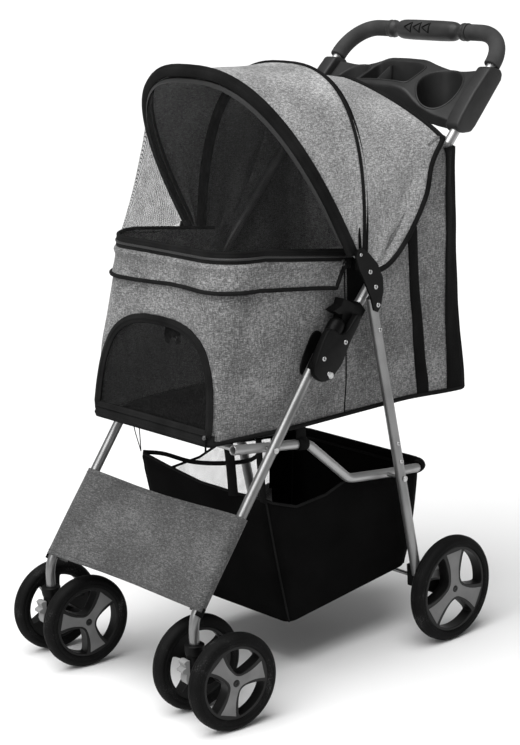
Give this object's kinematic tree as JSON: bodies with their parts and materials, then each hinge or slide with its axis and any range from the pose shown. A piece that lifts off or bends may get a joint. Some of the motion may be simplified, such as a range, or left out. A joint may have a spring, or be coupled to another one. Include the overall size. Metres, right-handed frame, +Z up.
{
  "type": "pet stroller",
  "caption": "Folding four-wheel pet stroller with a zipped fabric cabin, a two-rib hood with a mesh window, a shopping basket, a cup tray and twin swivel castors in front.",
  "frame": {"origin": "on the floor under the middle of the footprint of the whole stroller, castors as they stand", "axes": "+Z up, -Y the way the stroller rolls forward, +X to the stroller's left"},
  "size_m": [0.491, 0.7636, 0.989],
  "materials": {
    "painted_tube": "satin silver-grey powder coat",
    "steel": "plain plated steel",
    "black_plastic": "fine matt grain",
    "tray_plastic": "fine leather grain",
    "grip_plastic": "satin",
    "lever_plastic": "satin",
    "wheel_plastic": "satin",
    "foam": "matt closed-cell foam",
    "tyre": "matt, lightly speckled",
    "grey_fabric": "grey melange weave",
    "black_fabric": "plain black weave",
    "black_mesh": "open knitted mesh",
    "floor_board": "plain board under the cabin's floor cloth"
  },
  "bodies": {
    "front_frame": {"front_leg_left": "painted_tube", "front_leg_right": "painted_tube", "hinge_housing_left": "black_plastic", "hinge_housing_right": "black_plastic", "handle_pivot_pin_left": "steel", "handle_pivot_pin_right": "steel", "footrest_panel": "grey_fabric", "caster_stem_left": "steel", "caster_stem_right": "steel"},
    "caster_left": {"caster_body_left": "black_plastic", "caster_axle_left": "steel"},
    "swivel_lock_left": {"swivel_lock_left": "lever_plastic"},
    "front_wheel_left_outer": {"front_hub_left_outer": "wheel_plastic", "front_tyre_left_outer": "tyre"},
    "front_wheel_left_inner": {"front_hub_left_inner": "wheel_plastic", "front_tyre_left_inner": "tyre"},
    "caster_right": {"caster_body_right": "black_plastic", "caster_axle_right": "steel"},
    "swivel_lock_right": {"swivel_lock_right": "lever_plastic"},
    "front_wheel_right_outer": {"front_hub_right_outer": "wheel_plastic", "front_tyre_right_outer": "tyre"},
    "front_wheel_right_inner": {"front_hub_right_inner": "wheel_plastic", "front_tyre_right_inner": "tyre"},
    "handle": {"handle_tube": "painted_tube", "centre_grip": "grip_plastic", "foam_sleeve_left": "foam", "foam_sleeve_right": "foam", "pivot_plate_left": "black_plastic", "pivot_plate_right": "black_plastic", "cup_tray": "tray_plastic", "hood_rear_cloth": "grey_fabric"},
    "release_slider_left": {"release_slider_left": "lever_plastic"},
    "release_slider_right": {"release_slider_right": "lever_plastic"},
    "hood_front": {"hood_front_rib": "steel", "hood_front_cloth": "grey_fabric", "window_mesh": "black_mesh"},
    "hood_mid": {"hood_mid_rib": "steel"},
    "seat_frame": {"seat_rail": "painted_tube", "rail_front_bar": "painted_tube", "rail_front_pin_left": "steel", "rail_front_pin_right": "steel", "rail_rear_pin_left": "steel", "rail_rear_pin_right": "steel", "cabin_shell": "grey_fabric", "door_mesh": "black_mesh", "floor_board": "floor_board", "side_panel_left": "grey_fabric", "side_panel_right": "grey_fabric", "basket": "black_fabric"},
    "rear_legs": {"rear_leg_left": "painted_tube", "rear_leg_right": "painted_tube", "axle_housing_left": "black_plastic", "axle_housing_right": "black_plastic", "rear_axle": "steel"},
    "brake_left": {"brake_pedal_left": "lever_plastic"},
    "rear_wheel_left": {"rear_hub_left": "wheel_plastic", "rear_tyre_left": "tyre"},
    "brake_right": {"brake_pedal_right": "lever_plastic"},
    "rear_wheel_right": {"rear_hub_right": "wheel_plastic", "rear_tyre_right": "tyre"}
  },
  "joints": [
    {"name": "caster_swivel_left", "type": "hinge", "parent": "front_frame", "child": "caster_left", "pos_m": [0.176, -0.339, 0.1], "axis": [0, 0, 1], "continuous": true},
    {"name": "swivel_lock_tilt_left", "type": "hinge", "parent": "caster_left", "child": "swivel_lock_left", "pos_m": [0.17378, -0.35585, 0.072], "axis": [0.9914, -0.1305, 0], "range_deg": [0, 20]},
    {"name": "front_wheel_spin_left_outer", "type": "hinge", "parent": "caster_left", "child": "front_wheel_left_outer", "pos_m": [0.1804, -0.30559, 0.075], "axis": [0.9914, -0.1305, 0], "continuous": true},
    {"name": "front_wheel_spin_left_inner", "type": "hinge", "parent": "caster_left", "child": "front_wheel_left_inner", "pos_m": [0.1804, -0.30559, 0.075], "axis": [0.9914, -0.1305, 0], "continuous": true},
    {"name": "caster_swivel_right", "type": "hinge", "parent": "front_frame", "child": "caster_right", "pos_m": [-0.176, -0.339, 0.1], "axis": [0, 0, 1], "continuous": true},
    {"name": "swivel_lock_tilt_right", "type": "hinge", "parent": "caster_right", "child": "swivel_lock_right", "pos_m": [-0.17822, -0.35585, 0.072], "axis": [0.9914, -0.1305, 0], "range_deg": [0, 20]},
    {"name": "front_wheel_spin_right_outer", "type": "hinge", "parent": "caster_right", "child": "front_wheel_right_outer", "pos_m": [-0.1716, -0.30559, 0.075], "axis": [0.9914, -0.1305, 0], "continuous": true},
    {"name": "front_wheel_spin_right_inner", "type": "hinge", "parent": "caster_right", "child": "front_wheel_right_inner", "pos_m": [-0.1716, -0.30559, 0.075], "axis": [0.9914, -0.1305, 0], "continuous": true},
    {"name": "fold", "type": "hinge", "parent": "front_frame", "child": "handle", "pos_m": [0, -0.073, 0.49], "axis": [1, 0, 0], "range_deg": [-115, 0], "deforming": ["hood_rear_cloth"]},
    {"name": "slider_travel_left", "type": "slide", "parent": "handle", "child": "release_slider_left", "axis": [0, 0.669, 0.7433], "range_m": [0, 0.012], "stiffness_N_per_m": 1500, "springref_m": -0.004},
    {"name": "slider_travel_right", "type": "slide", "parent": "handle", "child": "release_slider_right", "axis": [0, 0.669, 0.7433], "range_m": [0, 0.012], "stiffness_N_per_m": 1500, "springref_m": -0.004},
    {"name": "hood_fold", "type": "hinge", "parent": "handle", "child": "hood_front", "pos_m": [0, -0.014, 0.668], "axis": [1, 0, 0], "range_deg": [-53, 0], "deforming": ["hood_front_cloth", "window_mesh"]},
    {"name": "hood_mid_fold", "type": "hinge", "parent": "handle", "child": "hood_mid", "pos_m": [0, 0.006, 0.639], "axis": [1, 0, 0], "range_deg": [-27, 0]},
    {"name": "seat_fold", "type": "hinge", "parent": "front_frame", "child": "seat_frame", "pos_m": [0, -0.175, 0.39], "axis": [1, 0, 0], "range_deg": [-73, 0], "deforming": ["cabin_shell", "door_mesh", "side_panel_left", "side_panel_right", "basket"]},
    {"name": "rear_leg_fold", "type": "hinge", "parent": "seat_frame", "child": "rear_legs", "pos_m": [0, 0.088, 0.292], "axis": [1, 0, 0], "range_deg": [0, 28]},
    {"name": "brake_press_left", "type": "hinge", "parent": "rear_legs", "child": "brake_left", "pos_m": [0.187, 0.16, 0.1085], "axis": [1, 0, 0], "range_deg": [-6, 0]},
    {"name": "rear_wheel_spin_left", "type": "hinge", "parent": "rear_legs", "child": "rear_wheel_left", "pos_m": [0.213, 0.183, 0.088], "axis": [1, 0, 0], "continuous": true},
    {"name": "brake_press_right", "type": "hinge", "parent": "rear_legs", "child": "brake_right", "pos_m": [-0.187, 0.16, 0.1085], "axis": [1, 0, 0], "range_deg": [-6, 0]},
    {"name": "rear_wheel_spin_right", "type": "hinge", "parent": "rear_legs", "child": "rear_wheel_right", "pos_m": [-0.213, 0.183, 0.088], "axis": [1, 0, 0], "continuous": true}
  ],
  "couplings": [
    {"joint": "seat_fold", "follows": "fold", "ratio": 0.62},
    {"joint": "rear_leg_fold", "follows": "fold", "ratio": -0.228},
    {"joint": "hood_mid_fold", "follows": "hood_fold", "ratio": 0.5}
  ]
}
